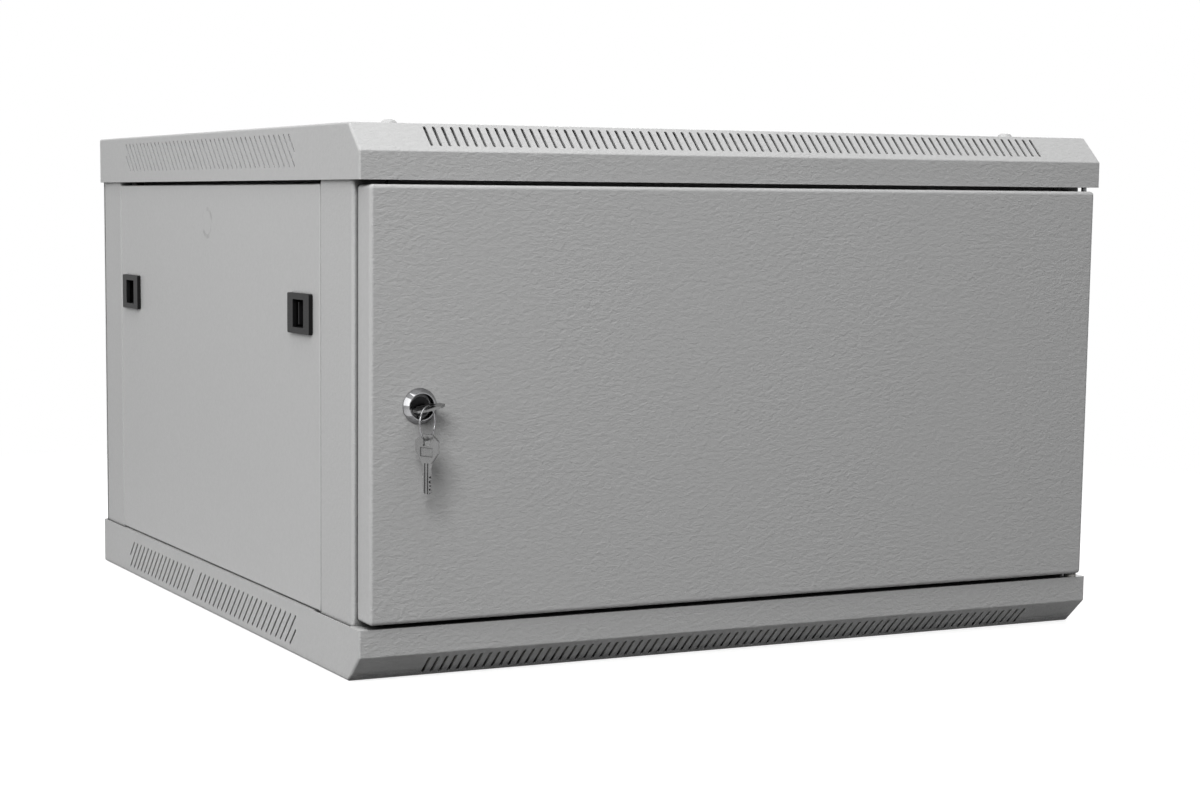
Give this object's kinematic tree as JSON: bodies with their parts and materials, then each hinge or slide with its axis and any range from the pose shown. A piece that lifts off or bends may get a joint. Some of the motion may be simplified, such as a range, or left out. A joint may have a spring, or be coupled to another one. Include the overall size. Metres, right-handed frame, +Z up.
{
  "type": "wall mount network cabinet",
  "caption": "Wall mounted 19 inch network cabinet: flat steel door with lock and keys, latched side panels, chamfered louvred roof and base.",
  "frame": {"origin": "centre of the underside of the base, on the plane the cabinet stands on", "axes": "+Z up, -Y towards the door, +Y towards the wall, +X towards the hinge side (right seen from the front)"},
  "size_m": [0.6, 0.635, 0.3735],
  "materials": {
    "powder_coat": "light grey fine-texture powder coat",
    "zinc_steel": "zinc plated",
    "chrome": "polished",
    "black_plastic": "moulded, matt",
    "nylon": "natural nylon",
    "rubber": "matt",
    "bolt_paint": "light grey coat",
    "key_steel": "nickel plated"
  },
  "bodies": {
    "cabinet": {"roof_cover": "powder_coat", "base_cover": "powder_coat", "front_post_left": "powder_coat", "front_post_right": "powder_coat", "rear_post_left": "powder_coat", "rear_post_right": "powder_coat", "front_bar_top": "powder_coat", "front_bar_bottom": "powder_coat", "rear_bar_top": "powder_coat", "rear_bar_bottom": "powder_coat", "rear_panel": "powder_coat", "roof_entry_plate": "powder_coat", "base_entry_plate": "powder_coat", "front_rail_left": "powder_coat", "front_rail_right": "powder_coat", "rear_rail_left": "powder_coat", "rear_rail_right": "powder_coat", "depth_rail_lower_left": "powder_coat", "depth_rail_lower_right": "powder_coat", "depth_rail_upper_left": "powder_coat", "depth_rail_upper_right": "powder_coat", "roof_bolts": "bolt_paint", "roof_entry_screws": "zinc_steel", "base_entry_screws": "zinc_steel", "roof_nuts": "zinc_steel", "base_studs": "zinc_steel", "base_nuts": "zinc_steel", "rear_panel_rivets": "zinc_steel", "depth_rail_screws": "zinc_steel", "rail_bolts": "zinc_steel", "rail_nuts": "zinc_steel", "hinge_pin_bottom": "zinc_steel", "cable_window_trim": "rubber", "hinge_washer": "nylon"},
    "door": {"door_shell": "powder_coat", "door_stiffener_left": "powder_coat", "door_stiffener_right": "powder_coat", "hinge_bracket": "powder_coat", "hinge_spring": "zinc_steel", "lock_body": "chrome", "lock_nut": "zinc_steel"},
    "hinge_pin": {"hinge_pin_top": "zinc_steel"},
    "lock_core": {"lock_plug": "zinc_steel", "lock_cam": "zinc_steel", "cam_screw": "zinc_steel"},
    "key": {"key_inserted": "key_steel"},
    "ring": {"key_ring": "key_steel"},
    "spare": {"key_spare": "key_steel"},
    "panel_left": {"side_panel_left": "powder_coat", "latch_housing_left_front": "black_plastic", "latch_housing_left_rear": "black_plastic"},
    "latch_left_front": {"latch_slider_left_front": "black_plastic"},
    "latch_left_rear": {"latch_slider_left_rear": "black_plastic"},
    "panel_right": {"side_panel_right": "powder_coat", "latch_housing_right_front": "black_plastic", "latch_housing_right_rear": "black_plastic"},
    "latch_right_front": {"latch_slider_right_front": "black_plastic"},
    "latch_right_rear": {"latch_slider_right_rear": "black_plastic"}
  },
  "joints": [
    {"name": "door_hinge", "type": "hinge", "parent": "cabinet", "child": "door", "pos_m": [0.2895, -0.295, 0.185], "axis": [0, 0, 1], "range_deg": [0, 180]},
    {"name": "hinge_pin_slide", "type": "slide", "parent": "door", "child": "hinge_pin", "axis": [0, 0, -1], "range_m": [0, 0.008], "stiffness_N_per_m": 250, "springref_m": -0.008, "deforming": ["hinge_spring"]},
    {"name": "lock_turn", "type": "hinge", "parent": "door", "child": "lock_core", "pos_m": [-0.2582, -0.3, 0.185], "axis": [0, 1, 0], "range_deg": [0, 90]},
    {"name": "key_pull", "type": "slide", "parent": "lock_core", "child": "key", "axis": [0, -1, 0], "range_m": [0, 0.024]},
    {"name": "ring_swing", "type": "hinge", "parent": "key", "child": "ring", "pos_m": [-0.26249, -0.3255, 0.18409], "axis": [-0.766, -0.6428, 0], "range_deg": [-4, 25]},
    {"name": "spare_swing", "type": "hinge", "parent": "ring", "child": "spare", "pos_m": [-0.26249, -0.3255, 0.16489], "axis": [-0.766, -0.6428, 0], "range_deg": [-30, 30]},
    {"name": "panel_left_tilt", "type": "hinge", "parent": "cabinet", "child": "panel_left", "pos_m": [-0.297, 0.013, 0.0372], "axis": [0, -1, 0], "range_deg": [0, 12]},
    {"name": "latch_left_front_slide", "type": "slide", "parent": "panel_left", "child": "latch_left_front", "axis": [0, -1, 0], "range_m": [0, 0.0098]},
    {"name": "latch_left_rear_slide", "type": "slide", "parent": "panel_left", "child": "latch_left_rear", "axis": [0, 1, 0], "range_m": [0, 0.0098]},
    {"name": "panel_right_tilt", "type": "hinge", "parent": "cabinet", "child": "panel_right", "pos_m": [0.297, 0.013, 0.0372], "axis": [0, 1, 0], "range_deg": [0, 12]},
    {"name": "latch_right_front_slide", "type": "slide", "parent": "panel_right", "child": "latch_right_front", "axis": [0, -1, 0], "range_m": [0, 0.0098]},
    {"name": "latch_right_rear_slide", "type": "slide", "parent": "panel_right", "child": "latch_right_rear", "axis": [0, 1, 0], "range_m": [0, 0.0098]}
  ]
}
